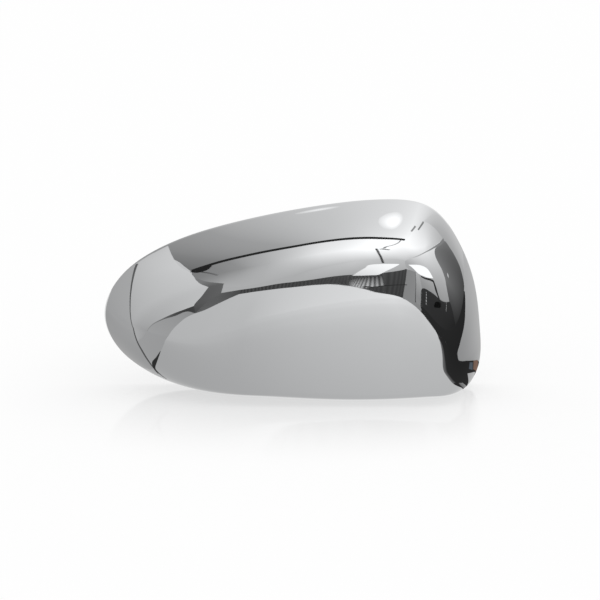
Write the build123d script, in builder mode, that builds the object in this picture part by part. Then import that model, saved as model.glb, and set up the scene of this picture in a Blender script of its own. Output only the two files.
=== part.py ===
"""Wing mirror cover: a thin plated dome with an open back, moulded in one piece with its snap hooks.

Millimetres. +X points outboard, -Y forward and +Z up. The rim lies in the plane y = 0, facing the
mirror housing, and the origin is at the middle of the opening that the rim surrounds.
"""
import os

from build123d import *

os.makedirs("parts", exist_ok=True)

# Rim outline, seen from in front, as (x, z) from the inboard tip over the roof and back along the floor
rim_outline = [
    (-112.5, -14.0),  # inboard tip
    (-104.0, 7.5),
    (-82.0, 25.0),  # brow
    (-35.0, 42.0),
    (18.0, 52.5),
    (56.0, 56.0),  # top of the roof
    (82.5, 51.3),  # shoulder
    (99.5, 31.0),
    (109.5, 5.0),
    (113.2, -23.0),  # outboard end
    (113.2, -42.0),
    (109.3, -51.3),  # lower outboard corner
    (99.3, -53.8),
    (70.0, -55.6),
    (20.0, -56.5),  # bottom of the floor
    (-51.0, -53.2),
    (-95.3, -43.0),  # chin
]

# Dome: copies of the rim outline that shrink towards the summit as they move forward of the rim
cover_depth = 63.0
summit_x = 50.0
summit_z = -45.0
roll_power = 7  # how late the front turns back into roof, ends and floor
wall = 2.4  # at the rim and in the middle of the front
rim_chamfer = 0.6  # on the rim's two edges

# Snap hooks: blades that stand clear of the wall, with a barb at the free end
hook_width = 12.0
hook_thickness = 2.0
hook_gap = 5.0  # room between blade and wall for the edge of the housing
hook_setback = 3.0  # from the rim's plane forward to the blade's free end
barb_height = 1.8
barb_lead = 3.5  # length of the sloping lead-in
barb_back = 1.0  # length of the sloping back, so the hook lets go when pulled
hook_places = (0.16, 0.31, 0.465)  # share of the way round the rim, from the inboard tip over the roof

# Catches: wedges on the floor near the rim, where there is no room for a blade
catch_width = 14.0
catch_height = 1.8
catch_setback = 3.0
catch_lead = 5.0
catch_back = 1.5
catch_places = (0.63, 0.77)

# The skin is lofted in belts, narrow near the rim where it turns fast, and flat within the last one
outer_belts = 26  # each one curved
inner_belts = 17  # each one straight from front to back
rim_belt_pace = 0.46  # how fast the belts shrink at the rim
front_belt_growth = 4  # how sharply they widen towards the front
flat_scale = 0.36  # size of the flat middle of the front, as a share of the rim outline

summit = Vector(summit_x, summit_z)
with BuildLine() as rim:
    Spline(*rim_outline, periodic=True)
rim_edge = rim.edge()


def inward_at(place):
    """Unit vector in the rim's plane, square to the rim and towards the inside of the cover."""
    return rim_edge.tangent_at(place).rotate(Axis.Z, -90)


def belt_scale(share):
    """Size of the outline, from 1 at the rim to the flat front, for a share of the belts passed."""
    widening = 1 - flat_scale - rim_belt_pace
    return 1 - rim_belt_pace * share - widening * share**front_belt_growth


def dome(inset, belts, sections):
    """Solid under a skin that is inset from the outer face, closed by the rim's plane."""
    edge_points = [Vector(point) + inward_at(point) * inset for point in rim_outline]
    with BuildPart() as solid:
        for belt in range(belts):
            for section in sections:
                scale = belt_scale((belt + section) / belts)
                with BuildSketch(Plane.XZ.offset((cover_depth - inset) * (1 - scale**roll_power))):
                    with BuildLine():
                        Spline(*[summit + (point - summit) * scale for point in edge_points], periodic=True)
                    make_face()
            loft()
    return solid.part


def wall_plane(place):
    """Plane across the wall at a place on the rim: local X runs inward from the wall, local Y forward."""
    inward = inward_at(place)
    foot = rim_edge.position_at(place) + inward * wall
    return Plane(
        origin=(foot.X, 0, foot.Y),
        x_dir=(inward.X, 0, inward.Y),
        z_dir=(inward.Y, 0, -inward.X),
    )


with BuildPart() as fixings:
    blade_outside = hook_gap
    blade_inside = hook_gap + hook_thickness
    for place in hook_places:
        with BuildSketch(wall_plane(place)):
            with BuildLine():
                Polyline(
                    (blade_outside, hook_setback),
                    (blade_inside, hook_setback),
                    (blade_inside + barb_height, hook_setback + barb_lead),
                    (blade_inside, hook_setback + barb_lead + barb_back),
                    (blade_inside, cover_depth),
                    (blade_outside, cover_depth),
                    close=True,
                )
            make_face()
        extrude(amount=hook_width / 2, both=True)
    for place in catch_places:
        with BuildSketch(wall_plane(place)):
            with BuildLine():
                Polyline(
                    (-wall, catch_setback),
                    (0, catch_setback),
                    (catch_height, catch_setback + catch_lead),
                    (0, catch_setback + catch_lead + catch_back),
                    (-wall, catch_setback + catch_lead + catch_back),
                    close=True,
                )
            make_face()
        extrude(amount=catch_width / 2, both=True)
    add(dome(wall / 2, inner_belts, (0, 1)), mode=Mode.INTERSECT)

with BuildPart() as mirror_cover:
    add(dome(0, outer_belts, (0, 0.5, 1)))
    add(dome(wall, inner_belts, (0, 1)), mode=Mode.SUBTRACT)
    chamfer(mirror_cover.faces().sort_by(Axis.Y)[-1].edges(), rim_chamfer)
    add(fixings.part)

mirror_cover.part.label = "mirror_cover"
export_step(mirror_cover.part, "parts/mirror_cover.step")
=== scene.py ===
"""A chrome-plated wing mirror cover on a white table, seen from in front and a little above."""
import math

import bmesh
import bpy
import numpy as np
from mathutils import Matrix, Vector


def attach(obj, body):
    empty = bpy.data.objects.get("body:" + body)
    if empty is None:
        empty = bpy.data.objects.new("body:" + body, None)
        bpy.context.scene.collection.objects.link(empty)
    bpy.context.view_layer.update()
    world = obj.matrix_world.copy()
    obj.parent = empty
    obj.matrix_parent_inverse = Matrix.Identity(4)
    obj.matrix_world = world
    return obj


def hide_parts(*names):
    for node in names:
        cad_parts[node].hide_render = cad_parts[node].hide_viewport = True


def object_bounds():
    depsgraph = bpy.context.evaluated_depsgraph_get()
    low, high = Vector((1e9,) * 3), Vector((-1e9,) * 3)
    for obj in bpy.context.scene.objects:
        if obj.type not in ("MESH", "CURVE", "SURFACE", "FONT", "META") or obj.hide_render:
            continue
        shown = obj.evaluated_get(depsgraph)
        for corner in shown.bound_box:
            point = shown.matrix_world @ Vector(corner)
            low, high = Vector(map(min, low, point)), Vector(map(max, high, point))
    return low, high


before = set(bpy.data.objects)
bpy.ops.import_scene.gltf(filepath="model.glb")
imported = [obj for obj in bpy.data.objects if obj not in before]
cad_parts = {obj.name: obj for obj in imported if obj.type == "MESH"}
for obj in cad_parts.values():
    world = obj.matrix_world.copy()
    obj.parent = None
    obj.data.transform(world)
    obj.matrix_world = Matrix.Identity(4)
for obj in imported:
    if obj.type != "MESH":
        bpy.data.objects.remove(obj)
cad_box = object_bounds()

MM = 0.001

# Rim outline in millimetres, as (x, z) from the inboard tip over the roof and back along the floor
RIM_OUTLINE = [
    (-112.5, -14.0), (-104.0, 7.5), (-82.0, 25.0), (-35.0, 42.0), (18.0, 52.5), (56.0, 56.0),
    (82.5, 51.3), (99.5, 31.0), (109.5, 5.0), (113.2, -23.0), (113.2, -42.0), (109.3, -51.3),
    (99.3, -53.8), (70.0, -55.6), (20.0, -56.5), (-51.0, -53.2), (-95.3, -43.0),
]

# The dome: rings that shrink towards the summit as they move forward of the rim
SUMMIT = np.array([50.0, -45.0])
DEPTH = 63.0
ROLL_POWER = 7  # how late the front turns back into roof, ends and floor
FLAT_SCALE = 0.36  # size of the flat middle of the front, as a share of the rim outline
WALL = 2.4
LIP_RADIUS = 0.6

# Hooks and catches, with their places as shares of the rim's length
HOOK_WIDTH = 12.0
HOOK_THICKNESS = 2.0
HOOK_GAP = 5.0
HOOK_SETBACK = 3.0
BARB_HEIGHT = 1.8
BARB_LEAD = 3.5
BARB_BACK = 1.0
HOOK_PLACES = {"hook_roof_inboard": 0.16, "hook_roof_outboard": 0.31, "hook_end": 0.465}
CATCH_WIDTH = 14.0
CATCH_HEIGHT = 1.8
CATCH_SETBACK = 3.0
CATCH_LEAD = 5.0
CATCH_BACK = 1.5
CATCH_PLACES = {"catch_floor_outboard": 0.63, "catch_floor_inboard": 0.77}
MOULDED_RADIUS = 0.25  # on the edges of hooks and catches
SHARP_TURN = math.radians(20)  # edges that turn more than this get the radius

# How finely the pieces are divided
POINTS_ROUND = 480
OUTER_RINGS = 84
INNER_RINGS = 60
RING_PACE = 0.47  # how fast the rings shrink at the rim
RING_GROWTH = 5  # how sharply their spacing widens towards the front
LIP_STEPS = 5
PRISM_STATIONS = 7
EDGE_STEPS = 3
RIM_STEPS = 4000  # for measuring the rim's length


def rim_curve(shares):
    """Points and unit tangents of the smooth closed curve through the rim outline.

    Shares are of the way round, measured along the straight lines between the outline's points.
    """
    points = np.array(RIM_OUTLINE)
    following = np.roll(points, -1, axis=0)
    chord = np.linalg.norm(following - points, axis=1)
    before = np.roll(chord, 1)
    count = len(points)
    system = np.diag(2 * (before + chord))
    for i in range(count):
        system[i, i - 1] += before[i]
        system[i, (i + 1) % count] += chord[i]
    slope = (following - points) / chord[:, None]
    bend = np.linalg.solve(system, 6 * (slope - np.roll(slope, 1, axis=0)))
    starts = np.concatenate([[0], np.cumsum(chord)])
    along = np.asarray(shares) % 1 * starts[-1]
    span = np.minimum(np.searchsorted(starts, along, side="right") - 1, count - 1)
    size = chord[span][:, None]
    b = ((along - starts[span]) / chord[span])[:, None]
    a = 1 - b
    bend_here, bend_next = bend[span], np.roll(bend, -1, axis=0)[span]
    place = a * points[span] + b * following[span]
    place += size**2 / 6 * ((a**3 - a) * bend_here + (b**3 - b) * bend_next)
    tangent = slope[span] + size / 6 * ((1 - 3 * a**2) * bend_here + (3 * b**2 - 1) * bend_next)
    return place, tangent / np.linalg.norm(tangent, axis=1)[:, None]


def inward(tangent):
    """Square to the rim, towards the inside of the cover."""
    return np.column_stack([tangent[:, 1], -tangent[:, 0]])


rim_points, rim_tangents = rim_curve(np.arange(POINTS_ROUND) / POINTS_ROUND)
rim_inward = inward(rim_tangents)


def skin_ring(inset, scale):
    """One ring of the skin: the rim outline, inset and shrunk towards the summit, at its depth."""
    flat = SUMMIT + scale * (rim_points + inset * rim_inward - SUMMIT)
    depth = (DEPTH - inset) * (1 - max(scale, FLAT_SCALE)**ROLL_POWER)
    return np.column_stack([flat[:, 0], np.full(POINTS_ROUND, -depth), flat[:, 1]])


def skin_scales(rings):
    """Sizes of the rings from the lip's edge to the front, closest together where the skin turns fastest."""
    share = np.arange(rings) / rings
    first = (1 - LIP_RADIUS / DEPTH) ** (1 / ROLL_POWER)
    return first - RING_PACE * share - (first - RING_PACE) * share**RING_GROWTH


def lip_rings(edge, side):
    """A quarter round from a skin's edge to the flat rim: side 1 turns inward, side -1 outward."""
    for step in range(1, LIP_STEPS + 1):
        turn = math.pi / 2 * step / LIP_STEPS
        ring = edge.copy()
        ring[:, [0, 2]] += side * LIP_RADIUS * (1 - math.cos(turn)) * rim_inward
        ring[:, 1] = -LIP_RADIUS * (1 - math.sin(turn))
        yield ring


def rings_to_faces(count):
    """Quads between rings that follow one another, and a fan onto a point at either end."""
    n = POINTS_ROUND
    faces = []
    for i in range(n):
        faces.append((0, 1 + (i + 1) % n, 1 + i))
    for ring in range(count - 1):
        low, high = 1 + ring * n, 1 + (ring + 1) * n
        for i in range(n):
            j = (i + 1) % n
            faces.append((low + i, low + j, high + j, high + i))
    last, end = 1 + (count - 1) * n, 1 + count * n
    for i in range(n):
        faces.append((end, last + i, last + (i + 1) % n))
    return faces


def linear(hex_colour):
    """Linear RGBA of an sRGB hex colour."""
    channels = [int(hex_colour[i:i + 2], 16) / 255 for i in (1, 3, 5)]
    return [c / 12.92 if c <= 0.04045 else ((c + 0.055) / 1.055) ** 2.4 for c in channels] + [1.0]


def node(tree, kind, inputs=None, **settings):
    """Adds a node, with its settings, and with values or links for its inputs."""
    made = tree.nodes.new(kind)
    for name, value in settings.items():
        setattr(made, name, value)
    for socket, value in (inputs or {}).items():
        if isinstance(value, bpy.types.NodeSocket):
            tree.links.new(value, made.inputs[socket])
        else:
            made.inputs[socket].default_value = value
    return made


def new_material(name):
    """An empty material and its node tree."""
    material = bpy.data.materials.new(name)
    material.use_nodes = True
    material.node_tree.nodes.clear()
    return material, material.node_tree


def bright_chrome():
    """Chrome over nickel on moulded and polished ABS: a cool grey mirror.

    The plastic keeps a faint ripple under its plating, and handling leaves a trace of haze.
    """
    ripple_mm, ripple_height_mm = 9.0, 0.02
    haze_mm = 30.0
    clear_roughness, hazy_roughness = 0.015, 0.035
    material, tree = new_material("bright_chrome")
    place = node(tree, "ShaderNodeTexCoord").outputs["Object"]
    ripple = node(tree, "ShaderNodeTexNoise", {
        "Vector": place, "Scale": 1 / (ripple_mm * MM), "Detail": 1.0})
    haze = node(tree, "ShaderNodeTexNoise", {
        "Vector": place, "Scale": 1 / (haze_mm * MM), "Detail": 4.0})
    roughness = node(tree, "ShaderNodeMapRange", {
        "Value": haze.outputs["Fac"], "From Min": 0.35, "From Max": 0.75,
        "To Min": clear_roughness, "To Max": hazy_roughness})
    bump = node(tree, "ShaderNodeBump", {
        "Height": ripple.outputs["Fac"], "Strength": 0.15, "Distance": ripple_height_mm * MM})
    shader = node(tree, "ShaderNodeBsdfPrincipled", {
        "Base Color": linear("#BFC0C1"), "Metallic": 1.0,
        "Roughness": roughness.outputs["Result"], "Normal": bump.outputs["Normal"]})
    node(tree, "ShaderNodeOutputMaterial", {"Surface": shader.outputs["BSDF"]})
    return material


def satin_plating():
    """The same plating inside, over the mould's unpolished face: satin grey, slightly cloudy, finely grained.

    Real spark-eroded grain is a few hundredths of a millimetre wide. It is drawn coarser, so that it shows.
    """
    grain_mm, grain_height_mm = 0.4, 0.03
    cloud_mm = 25.0
    smoothest, roughest = 0.29, 0.36
    material, tree = new_material("satin_plating")
    place = node(tree, "ShaderNodeTexCoord").outputs["Object"]
    grain = node(tree, "ShaderNodeTexNoise", {
        "Vector": place, "Scale": 1 / (grain_mm * MM), "Detail": 3.0})
    cloud = node(tree, "ShaderNodeTexNoise", {
        "Vector": place, "Scale": 1 / (cloud_mm * MM), "Detail": 3.0})
    tone = node(tree, "ShaderNodeMix", {
        "Factor": cloud.outputs["Fac"], "A": linear("#A9ABAC"), "B": linear("#BFC1C2")}, data_type="RGBA")
    roughness = node(tree, "ShaderNodeMapRange", {
        "Value": cloud.outputs["Fac"], "From Min": 0.3, "From Max": 0.7,
        "To Min": smoothest, "To Max": roughest})
    bump = node(tree, "ShaderNodeBump", {
        "Height": grain.outputs["Fac"], "Strength": 0.12, "Distance": grain_height_mm * MM})
    shader = node(tree, "ShaderNodeBsdfPrincipled", {
        "Base Color": tone.outputs[2], "Metallic": 1.0,
        "Roughness": roughness.outputs["Result"], "Normal": bump.outputs["Normal"]})
    node(tree, "ShaderNodeOutputMaterial", {"Surface": shader.outputs["BSDF"]})
    return material


chrome = bright_chrome()
inside_plating = satin_plating()


def new_piece(name, vertices, faces, materials, face_materials=None):
    """A smooth-shaded mesh piece of the cover, from millimetres, riding on the part's one body."""
    mesh = bpy.data.meshes.new(name)
    mesh.from_pydata(np.asarray(vertices) * MM, [], faces)
    for material in materials:
        mesh.materials.append(material)
    if face_materials is not None:
        mesh.polygons.foreach_set("material_index", face_materials)
    mesh.polygons.foreach_set("use_smooth", [True] * len(faces))
    mesh.update()
    piece = bpy.data.objects.new(name, mesh)
    bpy.context.scene.collection.objects.link(piece)
    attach(piece, "root")
    return piece


def cover_skin():
    """The whole moulded shell in one closed skin: front and sides, round lip, inner face."""
    outer = [skin_ring(0, scale) for scale in skin_scales(OUTER_RINGS)]
    inner = [skin_ring(WALL, scale) for scale in skin_scales(INNER_RINGS)]
    outer_lip = list(lip_rings(outer[0], 1))
    inner_lip = list(lip_rings(inner[0], -1))
    rings = outer[::-1] + outer_lip + inner_lip[::-1] + inner
    front = [SUMMIT[0], outer[-1][0, 1], SUMMIT[1]]
    inner_front = [SUMMIT[0], inner[-1][0, 1], SUMMIT[1]]
    vertices = np.vstack([[front], *rings, [inner_front]])
    faces = rings_to_faces(len(rings))
    bright_faces = POINTS_ROUND * (len(outer) + len(outer_lip) + len(inner_lip))
    face_materials = [0 if i < bright_faces else 1 for i in range(len(faces))]
    return new_piece("cover_skin", vertices, faces, [chrome, inside_plating], face_materials)


skin = cover_skin()
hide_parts("mirror_cover")

# The rim's length from its start, for placing hooks and catches
step_shares = np.arange(RIM_STEPS + 1) / RIM_STEPS
step_lengths = np.linalg.norm(np.diff(rim_curve(step_shares)[0], axis=0), axis=1)
rim_length = np.concatenate([[0], np.cumsum(step_lengths)])


def place_on_rim(place):
    """Rim point, tangent and inward direction at a share of the rim's length."""
    share = np.interp(place * rim_length[-1], rim_length, step_shares)
    points, tangents = rim_curve([share])
    return points[0], tangents[0], inward(tangents)[0]


def mid_wall_depth(point):
    """How far forward of the rim the middle of the wall lies over a point of the rim's plane."""
    edge = rim_points + WALL / 2 * rim_inward - SUMMIT
    bearing = np.arctan2(edge[:, 1], edge[:, 0])
    order = np.argsort(bearing)
    reach = np.interp(
        math.atan2(point[1] - SUMMIT[1], point[0] - SUMMIT[0]),
        bearing[order], np.hypot(edge[:, 0], edge[:, 1])[order], period=2 * math.pi)
    scale = min(1.0, math.hypot(*(point - SUMMIT)) / reach)
    return (DEPTH - WALL / 2) * (1 - scale**ROLL_POWER)


def moulded_prism(name, place, width, profile):
    """A prism with rounded edges, across the wall at a place on the rim.

    Its profile holds (distance in from the wall, depth forward of the rim), and a depth of None runs into the
    wall.
    """
    foot, along, into = place_on_rim(place)
    vertices = []
    for station in np.linspace(-width / 2, width / 2, PRISM_STATIONS):
        for reach, depth in profile:
            point = foot + along * station + into * (WALL + reach)
            forward = mid_wall_depth(point) if depth is None else depth
            vertices.append((point[0], -forward, point[1]))
    n = len(profile)
    faces = [tuple(range(n)), tuple(len(vertices) - 1 - i for i in range(n))]
    for station in range(PRISM_STATIONS - 1):
        low, high = station * n, (station + 1) * n
        for i in range(n):
            j = (i + 1) % n
            faces.append((low + i, high + i, high + j, low + j))
    piece = new_piece(name, vertices, faces, [inside_plating])
    shaped = bmesh.new()
    shaped.from_mesh(piece.data)
    bmesh.ops.recalc_face_normals(shaped, faces=shaped.faces)
    shaped.to_mesh(piece.data)
    shaped.free()
    rounding = piece.modifiers.new("moulded_edges", "BEVEL")
    rounding.width = MOULDED_RADIUS * MM
    rounding.segments = EDGE_STEPS
    rounding.limit_method = "ANGLE"
    rounding.angle_limit = SHARP_TURN


blade_inside = HOOK_GAP + HOOK_THICKNESS
hook_profile = [
    (HOOK_GAP, HOOK_SETBACK),
    (blade_inside, HOOK_SETBACK),
    (blade_inside + BARB_HEIGHT, HOOK_SETBACK + BARB_LEAD),
    (blade_inside, HOOK_SETBACK + BARB_LEAD + BARB_BACK),
    (blade_inside, None),
    (HOOK_GAP, None),
]
catch_profile = [
    (-WALL / 2, CATCH_SETBACK),
    (0.0, CATCH_SETBACK),
    (CATCH_HEIGHT, CATCH_SETBACK + CATCH_LEAD),
    (0.0, CATCH_SETBACK + CATCH_LEAD + CATCH_BACK),
    (-WALL / 2, CATCH_SETBACK + CATCH_LEAD + CATCH_BACK),
]
for name, place in HOOK_PLACES.items():
    moulded_prism(name, place, HOOK_WIDTH, hook_profile)
for name, place in CATCH_PLACES.items():
    moulded_prism(name, place, CATCH_WIDTH, catch_profile)

# Stage: a white table, a white room, and cards that the chrome reflects
TABLE_Z = cad_box[0][2]
TABLE_END = 8000  # millimetres from the cover to the table's edges
LAID = 0.3  # millimetres above the table; where laid cards overlap, the higher one shows
ROOM_REACH = 10.0  # metres from the cover to the cards hung round it
NEAR, NEARER, RIBBED, RIB_LIT, NEAREST = 0.95, 0.9, 0.89, 0.88, 0.8  # shares of that, to hang in front
CARD_ROWS = 7
LAMP_POINTS = 12
LAMP_CORE = 0.02  # hole left in the middle of a round lamp, as a share of its size; too small to show


def white_table():
    """Lacquered board: white, with a faint shadow, and a gloss that shows the cover dimly close to it."""
    gloss_share, gloss_roughness = 0.2, 0.08
    gloss_full_mm, gloss_gone_mm = 50, 200
    glow_share = 0.65  # of the white, which no shadow darkens
    material, tree = new_material("white_lacquered_board")
    place = node(tree, "ShaderNodeTexCoord").outputs["Object"]
    away = node(tree, "ShaderNodeVectorMath", {0: place}, operation="LENGTH")
    gloss = node(tree, "ShaderNodeMapRange", {
        "Value": away.outputs["Value"], "From Min": gloss_full_mm * MM, "From Max": gloss_gone_mm * MM,
        "To Min": gloss_share, "To Max": 0.0}, interpolation_type="SMOOTHSTEP")
    path = node(tree, "ShaderNodeLightPath")
    direct = path.outputs["Is Camera Ray"]
    mirrored = node(tree, "ShaderNodeMath", {
        0: path.outputs["Is Glossy Ray"], 1: path.outputs["Is Transmission Ray"]}, operation="MAXIMUM")
    seen = node(tree, "ShaderNodeMath", {
        0: direct, 1: mirrored.outputs["Value"]}, operation="MAXIMUM")
    gloss_seen = node(tree, "ShaderNodeMath", {
        0: gloss.outputs["Result"], 1: direct}, operation="MULTIPLY")
    glow_seen = node(tree, "ShaderNodeMath", {
        0: seen.outputs["Value"], 1: glow_share}, operation="MULTIPLY")
    matt = node(tree, "ShaderNodeBsdfDiffuse", {"Color": linear("#FDFDFD")})
    white = node(tree, "ShaderNodeEmission", {"Color": linear("#FFFFFF"), "Strength": 1.0})
    mirror = node(tree, "ShaderNodeBsdfGlossy", {"Color": linear("#FFFFFF"), "Roughness": gloss_roughness})
    lit = node(tree, "ShaderNodeMixShader", {
        0: glow_seen.outputs["Value"], 1: matt.outputs["BSDF"], 2: white.outputs["Emission"]})
    mixed = node(tree, "ShaderNodeMixShader", {
        0: gloss_seen.outputs["Value"], 1: lit.outputs["Shader"], 2: mirror.outputs["BSDF"]})
    node(tree, "ShaderNodeOutputMaterial", {"Surface": mixed.outputs["Shader"]})
    return material


def table():
    """A flat board under the cover."""
    half = TABLE_END * MM
    corners = [(-half, -half, 0), (half, -half, 0), (half, half, 0), (-half, half, 0)]
    mesh = bpy.data.meshes.new("table")
    mesh.from_pydata(corners, [], [(0, 1, 2, 3)])
    mesh.materials.append(white_table())
    top = bpy.data.objects.new("table", mesh)
    top.location = (0, 0, TABLE_Z)
    bpy.context.scene.collection.objects.link(top)


table()

world = bpy.data.worlds.new("white_room")
bpy.context.scene.world = world
world.use_nodes = True
world.node_tree.nodes.clear()
room_light = node(world.node_tree, "ShaderNodeBackground", {"Color": linear("#FFFFFF"), "Strength": 1.0})
node(world.node_tree, "ShaderNodeOutputWorld", {"Surface": room_light.outputs["Background"]})


def direction(azimuth, elevation):
    """Unit vector as seen from the cover: azimuth 0 towards the camera, 90 outboard."""
    az, el = math.radians(azimuth), math.radians(elevation)
    return Vector((math.sin(az) * math.cos(el), -math.cos(az) * math.cos(el), math.sin(el)))


def on_table(x_mm, y_mm, above_mm):
    """A point just above the table."""
    return Vector((x_mm * MM, y_mm * MM, TABLE_Z + above_mm * MM))


def card_paint():
    """Light that a card glows with by itself, as bright as its corners' tones say, and none from behind."""
    material, tree = new_material("card_paint")
    tone = node(tree, "ShaderNodeAttribute", attribute_name="tone")
    glow = node(tree, "ShaderNodeEmission", {"Color": tone.outputs["Color"], "Strength": 1.0})
    clear = node(tree, "ShaderNodeBsdfTransparent")
    back = node(tree, "ShaderNodeNewGeometry").outputs["Backfacing"]
    mixed = node(tree, "ShaderNodeMixShader", {
        0: back, 1: glow.outputs["Emission"], 2: clear.outputs["BSDF"]})
    node(tree, "ShaderNodeOutputMaterial", {"Surface": mixed.outputs["Shader"]})
    return material


paint = card_paint()


def smooth(points, steps):
    """More points on a smooth line through the given ones, a number of steps from each to the next."""
    rows = np.array([list(point) for point in points])
    runs = np.linalg.norm(np.diff(rows, axis=0), axis=1)
    slope = np.gradient(rows, np.concatenate([[0], np.cumsum(runs)]), axis=0)
    line = []
    for i, run in enumerate(runs):
        for b in np.arange(steps) / steps:
            a = 1 - b
            ends = rows[i] * a**2 * (1 + 2 * b) + rows[i + 1] * b**2 * (1 + 2 * a)
            line.append(ends + run * a * b * (a * slope[i] - b * slope[i + 1]))
    return np.array([*line, rows[-1]])


def spread(values, count):
    """One value for each of a count of places, from one for all or from several spread evenly over them."""
    values = np.atleast_1d(values)
    return np.interp(np.linspace(0, 1, count), np.linspace(0, 1, len(values)), values)


def card(name, one_edge, other_edge, one_tone, other_tone, reach=None, steps=8, ribs=0, tint=(1, 1, 1)):
    """A card between two edges that only reflections see.

    Tones are shares of the white room's brightness, spread evenly along each edge, and ribs is how much they
    go up and down from step to step. With a reach, the card curves round the cover at that distance.
    """
    edges = [smooth(edge, steps) for edge in (one_edge, other_edge)]
    columns = len(edges[0])
    wave = 1 + spread(ribs, columns) * (-1) ** np.arange(columns)
    tones = [spread(tone, columns) * wave for tone in (one_tone, other_tone)]
    rows, shades = [], []
    for share in np.linspace(0, 1, CARD_ROWS):
        row = edges[0] * (1 - share) + edges[1] * share
        if reach:
            row *= reach / np.linalg.norm(row, axis=1)[:, None]
        rows.append(row)
        shades.append(np.outer(tones[0] * (1 - share) + tones[1] * share, [*tint, 1]))
    faces = []
    for row in range(CARD_ROWS - 1):
        for i in range(row * columns, (row + 1) * columns - 1):
            faces.append((i, i + 1, i + columns + 1, i + columns))
    mesh = bpy.data.meshes.new(name)
    mesh.from_pydata(np.vstack(rows), [], faces)
    mesh.update()
    if sum(face.area * face.normal.dot(face.center) for face in mesh.polygons) > 0:
        mesh.flip_normals()
    painted = mesh.color_attributes.new("tone", "FLOAT_COLOR", "POINT")
    painted.data.foreach_set("color", np.vstack(shades).ravel())
    mesh.materials.append(paint)
    piece = bpy.data.objects.new(name, mesh)
    bpy.context.scene.collection.objects.link(piece)
    piece.visible_camera = False
    piece.visible_diffuse = False
    piece.visible_shadow = False


def hang(name, one_edge, other_edge, one_tone, other_tone, nearer=1.0, **how):
    """A card hung round the cover, its edges given as (azimuth, elevation)."""
    edges = [[direction(*place) for place in edge] for edge in (one_edge, other_edge)]
    card(name, *edges, one_tone, other_tone, reach=ROOM_REACH * nearer, **how)


def lay(name, one_edge, other_edge, one_tone, other_tone, above=LAID, **how):
    """A card laid on the table, its edges given as (x, y) in millimetres."""
    edges = [[on_table(*place, above) for place in edge] for edge in (one_edge, other_edge)]
    card(name, *edges, one_tone, other_tone, **how)


def bar(name, places, width, tone, **how):
    """A narrow bar hung in front of the cards along a line of (azimuth, elevation), its width in degrees."""
    line = [direction(*place) for place in places]
    sides = []
    for i, point in enumerate(line):
        run = line[min(i + 1, len(line) - 1)] - line[max(i - 1, 0)]
        sides.append(point.cross(run).normalized() * math.tan(math.radians(width / 2)))
    edges = [[point + sign * side for point, side in zip(line, sides)] for sign in (-1, 1)]
    card(name, *edges, tone, tone, reach=ROOM_REACH * NEAREST, **how)


def round_lamp(name, azimuth, elevation, half_width, half_height, middle_tone, edge_tone):
    """A lamp that is brightest in the middle, its place and sizes in degrees."""
    turns = np.linspace(0, 2 * math.pi, LAMP_POINTS + 1)
    rings = []
    for size in (LAMP_CORE, 1):
        across, up = size * half_width * np.cos(turns), size * half_height * np.sin(turns)
        rings.append(list(zip(azimuth + across, elevation + up)))
    hang(name, *rings, middle_tone, edge_tone, NEAREST)


# White paper sweep: it lies on the table in front of the cover and rises at the far side
# Its tones are painted shade close to and under the cover, and painted light, brighter than the room's white,
# further off
under = [(x, 60) for x in (-95, -60, -35, -15, 0, 15, 35, 60, 90, 125)]
close = [
    (-94, -27), (-60, -45), (-35, -48), (-15, -50), (0, -50),
    (15, -50), (35, -50), (60, -50), (90, -45), (125, -31)]
middle = [
    (-590, -420), (-210, -460), (-80, -480), (-36, -480), (-4, -480),
    (25, -480), (55, -480), (100, -480), (160, -480), (450, -420)]
further = [(x, -1150) for x in (-1500, -500, -180, -95, -36, 13, 60, 130, 300, 900)]
far_side = [(-TABLE_END, -5600)]
far_side += [(x, -TABLE_END) for x in (-3400, -1270, -770, -420, -140, 140, 630, 1400, 2500)]
close_tone = (0.67, 0.77, 0.88)
middle_tone = (0.82, 0.85, 1.04, 1.15, 0.98)
further_tone = (0.83, 0.9, 1.13, 1.32, 1.1)
far_tone = (0.84, 0.9, 1.2, 1.42, 1.2)
lay("sweep_under", under, close, (0.62, 0.8), close_tone)
lay("sweep_close", close, middle, close_tone, middle_tone)
lay("sweep_middle", middle, further, middle_tone, further_tone)
lay("sweep_further", further, far_side, further_tone, far_tone)
hang("sweep_upright",
     [(azimuth, -1) for azimuth in (-55, -23, -9, -5.5, -3, -1, 1, 4.5, 10, 17.5)],
     [(-55, 22), (-23, 38), (-17, 35), (-12, 32), (-7.5, 28),
      (-3.5, 23), (0.5, 14), (4.5, 8), (10, 6), (17.5, 5)],
     far_tone, (0.86, 1.0, 1.24, 1.42, 1.35))

# Dark ribbed card over the sweep, its ribs painted as stripes of light and shade
hang("ribbed_card",
     [(-21.5, 33), (-16, 31), (-12, 28.5), (-9, 25.5), (-6.5, 23),
      (-5, 21), (-2.5, 15), (0, 8), (2, 3), (6, 0)],
     [(-25, 40), (-19, 38), (-15, 37), (-11.5, 34.5), (-9, 33),
      (-7, 33), (-5, 32), (-2, 28.5), (1.5, 31), (17.5, 39)],
     (0.1, 0.1, 0.085), (0.1, 0.1, 0.1, 0.13, 0.1), RIBBED,
     steps=10, ribs=(0.35, 0.45, 0.45, 0.15))
# Painted highlights on the lower ribs, brightest at their foot and fading upward
hang("painted_rib_highlights",
     [(-2.5, 16.5), (-1.5, 12.5), (0, 9.5), (2, 11)],
     [(-3.5, 24.5), (-2.5, 24.5), (-1, 24.5), (1.5, 25)],
     (0.35, 0.7, 0.7, 0.35), 0.12, RIB_LIT, steps=7, ribs=1)
bar("rib_rail", [(-0.5, 11.5), (0.5, 10), (2, 11), (4.5, 12), (11, 13.5)], 0.8, 0.045)

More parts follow.
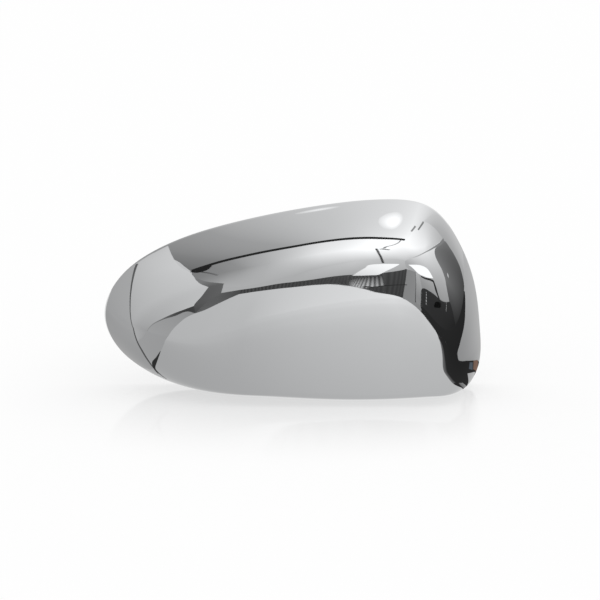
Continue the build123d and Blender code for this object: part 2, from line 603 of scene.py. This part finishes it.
# Two upright cards beside it, grey and paler, with a thin dark bar between them
column = [(13.5, -1), (16.5, 5), (21.5, 15), (29.5, 34)]
hang("grey_column", [(6, -1), (6.5, 4), (8, 14.5), (15, 39)], column, 0.43, 0.46, NEARER)
lay("column_foot",
    [(330, -1050), (340, -1400), (390, -2150), (570, -4050), (920, -TABLE_END)],
    [(340, -1050), (470, -1400), (710, -2150), (1300, -4050), (2600, -TABLE_END)],
    0.45, 0.45, above=0.7)
hang("pale_column", column, [(18, -1), (21, 3), (29.5, 13), (36, 31)],
     (0.5, 0.48, 0.6, 0.8), (0.5, 0.46, 0.62, 0.8), NEARER)
bar("column_bar", column, 0.6, 0.12)

# Black card at the outboard end, hung and laid, and a dark grey one beside it
hang("black_card",
     [(17, -1), (24, -1), (45, -1), (65, -1), (97, -1)],
     [(20, 2), (29.5, 13), (47.5, 14), (62, 13), (95.5, 10.5)],
     (0.06, 0.03), 0.06, NEARER)
hang("dark_grey_card",
     [(142, 14), (135.5, 20), (127.5, 26.5), (121.5, 30), (117, 30.5), (112.5, 28.5), (111, 24),
      (111, 20), (108.5, 17), (103, 15.5), (97.5, 13.5), (93, 10), (93, -1)],
     [(142.5, 13.5), (143.5, 11.5), (144, 9.5), (145, 7), (146, 4.5), (146.5, 2.5), (145.5, 0.5),
      (143, -1), (135, -1), (125, -1), (115, -1), (105, -1), (95, -1)],
     (0.35, 0.36, 0.33, 0.35, 0.33, 0.18, 0.05), (0.3, 0.22, 0.1, 0.06, 0.04), NEARER)
black_edge = [(125, -62), (145, -104), (163, -165), (195, -205), (270, -340)]
outboard_line = [
    (118, 54), (160, 50), (206, 37), (250, 5), (285, -28),
    (310, -31), (370, 45), (440, 230), (690, 620), (6300, TABLE_END)]
lay("black_card_on_table",
    [(103, -28), *black_edge, (380, -730), (335, -1050), (430, -1400), (2300, -TABLE_END)],
    outboard_line, 0.04, 0.03, above=0.6)
lay("black_card_edge", [*black_edge, (300, -440)],
    [(128, -54), (151, -88), (172, -132), (203, -172), (270, -275), (305, -400)],
    0.3, 0.06, above=0.8)
lay("black_card_further", [(2300, -TABLE_END), (6300, TABLE_END)],
    [(TABLE_END, -TABLE_END), (TABLE_END, TABLE_END)], 0.04, 0.04)

# Pale card behind the outboard end, laid on the table
lay("pale_card_on_table", outboard_line,
    [(105, 60), (108, 75), (112, 90), (115, 120), (118, 150),
     (120, 200), (125, 300), (130, 600), (140, 1200), (200, TABLE_END)],
    (0.45, 0.47, 0.51, 0.65), (0.5, 0.51, 0.57, 0.68))

# Roof of the set: a dark bar over it, grey on the inboard side and white on the outboard side
roof_bar = [
    (-121.5, 54), (-126.5, 58), (-131, 60.5), (-139, 65), (-145, 68),
    (-152.5, 69.5), (-167, 73.5), (-184, 76.5), (-223, 74)]
roof_end = [(-211, 61), (-210, 48.5), (-209.5, 38), (-215.5, 26.5), (-217.5, 15)]
roof_ridge = [
    (-102, 56), (-88, 66), (-84, 69), (-75, 73), (-72, 76), (-70, 78.5), (-60, 82),
    (0, 83.5), (84, 82), (88, 70), (103, 58), (117, 46), (129, 34), (142, 15)]
roof_front = [
    (-85, 55), (-62, 56), (-45, 52), (-22, 45), (-17, 50), (-15, 55), (-10, 58), (4, 60), (22, 57)]
roof_outboard = [(46, 59), (75, 55), (99, 49), (124, 32), (142.5, 14)]
ridge_tone = (0.38, 0.54, 1.25, 2.05, 1.95, 1.6, 0.75)
hang("roof_behind", roof_bar + roof_end, roof_ridge,
     (0.36, 0.48, 1.15, 1.95, 1.85, 1.25, 0.75), ridge_tone)
hang("roof_middle", roof_ridge, roof_front + roof_outboard,
     ridge_tone, (0.42, 0.78, 0.82, 1.1, 1.0, 1.5, 0.75))
hang("roof_front", roof_front,
     [(-75, 50), (-52, 46), (-34, 38), (-18, 34), (-12, 30), (-8, 28), (-5, 28), (2, 28), (18, 36)],
     (0.42, 0.75, 0.8, 1.1, 0.95), (0.42, 0.78, 0.75, 0.7, 0.75))
bar("roof_bar", roof_bar, 3.4, 0.03)
hang("roof_bar_end",
     [(-120, 53.5), (-123.5, 54.5), (-125.5, 56), (-125, 59)],
     [(-118, 54.5), (-112.5, 58), (-113, 59.5), (-123, 60)],
     0.03, 0.03, NEAREST)
bar("roof_wire", [(-112.5, 58.5), (-100, 62), (-83.5, 63.5)], 0.8, (0.15, 0.3))
bar("roof_seam",
    [(46.5, 59.5), (67.5, 58), (94, 50.5), (113.5, 39), (127.5, 27.5), (135.5, 20), (142.5, 14)],
    1.4, (1.0, 0.7, 0.5, 0.4, 0.35))
bar("end_seam", [(150.5, 59), (153, 50)], 1.6, 0.5)
bar("end_seam_short", [(146, 51), (150.5, 38.5)], 1.6, 0.4)
bar("boom", [(-11.5, 84), (-0.5, 69.5), (1.5, 51)], 0.6, 0.1)
bar("boom_arm", [(-2.5, 83), (15, 80)], 1.2, 0.15)
bar("boom_stay", [(6.5, 83.5), (30, 87), (100, 86), (135, 80), (144, 76.5)], 0.8, 0.5)

# Pale side of the set towards the outboard end, from the roof down to the black card
hang("pale_side",
     [(17.5, 45), (22, 55), *roof_outboard],
     [(25, 5), (35, 5), (50, 5), (70, 5), (90, 5), (105, 10), (142, 13)],
     (0.75, 0.78, 1.15, 1.4, 1.55, 1.4, 1.0), (0.5, 0.42, 0.4, 0.9))

# Back of the set, darker towards the inboard side
hang("back",
     [(-119, 54.5), (-127, 58.5), (-136, 63), (-145, 68), (-157, 72),
      (-184, 76.5), (-223, 74), *roof_end[:3]],
     [(-153.5, 31), (-158, 12), (-162, -1), (-168, -1), (-174, -1),
      (-182, -1), (-192, -1), (-200, -1), (-204, -1), (-207, -1)],
     (0.28, 0.4, 0.67, 1.3, 1.9, 1.55, 1.1), (0.36, 0.4, 0.47, 0.8, 0.95, 0.8, 0.7))
hang("back_end",
     [*roof_end[2:], (-216, 6.5), (-215, -1)],
     [(-207, -1), (-209, -1), (-210, -1), (-211, -1), (-212, -1)],
     (1.1, 0.79, 0.66, 0.6, 0.57), (0.7, 0.59, 0.57))

# Lamps, what carries them, and two dotted lines of painted glints
hang("lamp_front",
     [(-4, 30), (-4, 37), (-3.5, 42.5), (-2, 49), (2, 49), (11.5, 48.5)],
     [(-4, 29.5), (-2, 28), (0.5, 27.5), (1, 29), (2.5, 35), (11.5, 48)],
     (1.3, 1.7, 1.9), (1.3, 1.5, 1.9), NEAREST)
hang("lamp_outboard",
     [(23.5, 47), (36, 31), (51, 27), (72, 24.5)],
     [(24, 47.5), (55.5, 42.5), (70.5, 32.5), (72, 25)],
     1.9, 1.9, NEAREST)
bar("lamp_arm", [(38.5, 27.5), (47, 25.5), (57.5, 24.5), (68.5, 22.5)], 2.2, 0.05)
bar("lamp_stem", [(68.5, 23.5), (67, 19.5), (63.5, 15.5), (62.5, 12.5), (59, 10)], 4.0, 0.05)
hang("stem_foot",
     [(40.5, 6.5), (46.5, 9), (55.5, 11), (63.5, 11.5)],
     [(40.5, 6), (48, 7.5), (57, 9), (63.5, 11)],
     0.01, 0.01, NEAREST)
# Two dotted lines of painted glints
bar("row_of_glints", [(36, 12), (31.5, 7.5), (26.5, 3)], 0.6, 0.5, ribs=1, steps=4)
bar("row_of_glints_outboard", [(82, 11.5), (76, 9.5), (71.5, 8)], 0.6, 0.4, ribs=1, steps=4)
round_lamp("lamp_behind", 174, 53.5, 6, 10, 2.4, 1.38)
round_lamp("lamp_far_behind", -172.5, 37, 2.4, 0.9, 1.6, 1.0)
round_lamp("lamp_small", 119, 14, 2.0, 0.6, 1.6, 0.4)

# Pale screen on the inboard side, with a dark gap over it and a grey foot
screen_line = [(-144, 25.5), (-133, 24), (-121.5, 19.5), (-114.5, 14.5), (-109, 7.5), (-105, -1)]
hang("screen",
     [(-153.5, 31), *screen_line, (-96, -1), (-82, -1)],
     [(-153.5, 31.5), (-147.5, 37), (-135.5, 45.5), (-118, 54), (-105, 56.5),
      (-92, 57), (-78, 56.5), (-57, 53), (-41, 30)],
     (0.9, 0.84, 0.8, 0.75, 0.6), (1.0, 1.1, 1.08, 1.05, 0.95), NEAR)
hang("gap_over_screen",
     [(-98, 57), (-80, 56.5), (-57, 53)],
     [(-98, 57.5), (-80.5, 58.5), (-49, 55.5)],
     (0.36, 0.36, 0.2), (0.36, 0.36, 0.22), NEARER)
hang("gap_beside_screen",
     [(-57, 53), (-46, 41.5), (-42, 31), (-39, 27), (-34.5, 21)],
     [(-49, 55.5), (-40.5, 49), (-34, 41.5), (-31, 37), (-28, 33)],
     (0.2, 0.16, 0.12), 0.22, NEARER)
hang("gap_to_ribs",
     [(-34.5, 21), (-29.5, 22.5), (-25, 27), (-21.5, 33)],
     [(-34, 41.5), (-31, 41), (-28, 40.5), (-25, 40)],
     (0.2, 0.22, 0.2, 0.12), (0.2, 0.13), NEARER)
shadow_tone = (0.1, 0.08, 0.12, 0.25, 0.45, 0.55)
hang("screen_shadow",
     [(-42, 31), (-47, 28.5), (-54.5, 25), (-64.5, 19), (-76.5, 9.5), (-83, -1)],
     [(-34.5, 21), (-44.5, 25), (-52, 21.5), (-63.5, 17.5), (-76, 8.5), (-82, -1)],
     shadow_tone, shadow_tone, NEAREST)
hang("screen_foot",
     [(-82.5, -1), (-76, 8.5), (-63.5, 17.5), (-52, 21.5), (-44.5, 25), (-34.5, 21.5)],
     [(-52.5, -1), (-47, 9), (-44, 13), (-41, 17), (-38, 19.5), (-34.5, 21)],
     (0.65, 0.58, 0.5), (0.62, 0.57, 0.5), NEARER)
foot_line = [(-165, -16), (-242, -34), (-384, -55), (-1220, -165), (-TABLE_END, -1050)]
lay("screen_foot_on_table",
    [(-86, -20), (-94, -27), (-104, -40), (-144, -78),
     (-210, -132), (-355, -240), (-945, -700), (-TABLE_END, -6200)],
    [(-86, -19), (-102, -25), (-124, -24), *foot_line],
    0.6, 0.62, above=0.5)
lay("screen_on_table", foot_line,
    [(-165, -15), (-216, -5), (-343, 23), (-1520, 355), (-TABLE_END, 2130)],
    (0.66, 0.65, 0.6), 0.75, above=0.4)
lay("screen_corner",
    [(-142, -76), (-120, -57), (-104, -40), (-94, -27), (-86, -20)],
    [(-142, -75), (-116, -47), (-103, -29), (-95, -23), (-86, -19)],
    0.05, 0.05, above=0.9)

# Grey side of the set towards the inboard end, with a thin dark bar between it and the screen
hang("grey_side",
     [(-105, -1), (-118, -1), (-138, -1), (-165, -1)],
     [(-109, 7.5), (-121.5, 19.5), (-144, 26), (-156, 29)],
     (0.68, 0.66, 0.57, 0.52), (0.7, 0.7, 0.67, 0.63))
lay("grey_side_on_table",
    [(-60, 10), (-89, -24), (-124, -24), (-165, -16), (-343, 23), (-1520, 355), (-TABLE_END, 2130)],
    [(-60, 60), (-110, 70), (-150, 100), (-200, 150), (-600, 700), (-2000, 3000), (-7000, TABLE_END)],
    (0.5, 0.58, 0.66, 0.68), (0.4, 0.45, 0.5, 0.55))
bar("thin_bar", screen_line, 1.2, 0.17)
lay("thin_bar_on_table",
    [(-78, -22.5), (-89, -25.5), (-102, -26.5), (-124, -26),
     (-165, -18.5), (-343, 19), (-1520, 340), (-TABLE_END, 2050)],
    [(-78, -20), (-89, -22), (-102, -23), (-124, -21.5),
     (-165, -13.5), (-343, 28), (-1520, 375), (-TABLE_END, 2220)],
    0.16, 0.16, above=0.8)

# Small warm, cool and pale cards by the lower outboard corner
lay("warm_card", [(150, 49), (130, 20)], [(130, 54), (110, 26)],
    0.24, 0.24, above=1.0, tint=(1, 0.62, 0.48))
lay("cool_card", [(168, 38), (148, 12)], [(150, 42), (131, 17)],
    0.14, 0.14, above=1.0, tint=(0.85, 1, 1.2))
lay("pale_card", [(138, -4), (108, -18)], [(119, 19), (104, 4)], 0.6, 0.6, above=1.0)
lay("pale_card_low",
    [(124, -44), (113, -38), (105, -31)], [(121, -33), (111, -26), (104, -18)],
    0.25, 0.4, above=1.0)

# Camera, as the photo was taken: a little above the table, far enough away to flatten the view
CAMERA_ELEVATION = 11.0  # degrees
CAMERA_DISTANCE = 1.5  # metres
FRAME_WIDTH = 0.3598  # metres across the picture at the cover
AIM = Vector((0.005, 0.0, -0.0053))  # metres, the middle of the picture
lens = bpy.data.cameras.new("camera")
lens.sensor_width = 36.0
lens.lens = lens.sensor_width * CAMERA_DISTANCE / FRAME_WIDTH
camera = bpy.data.objects.new("camera", lens)
camera.location = AIM + direction(0, CAMERA_ELEVATION) * CAMERA_DISTANCE
camera.rotation_euler = (math.radians(90 - CAMERA_ELEVATION), 0, 0)
bpy.context.scene.collection.objects.link(camera)
bpy.context.scene.camera = camera

bpy.context.scene.view_settings.view_transform = "Standard"
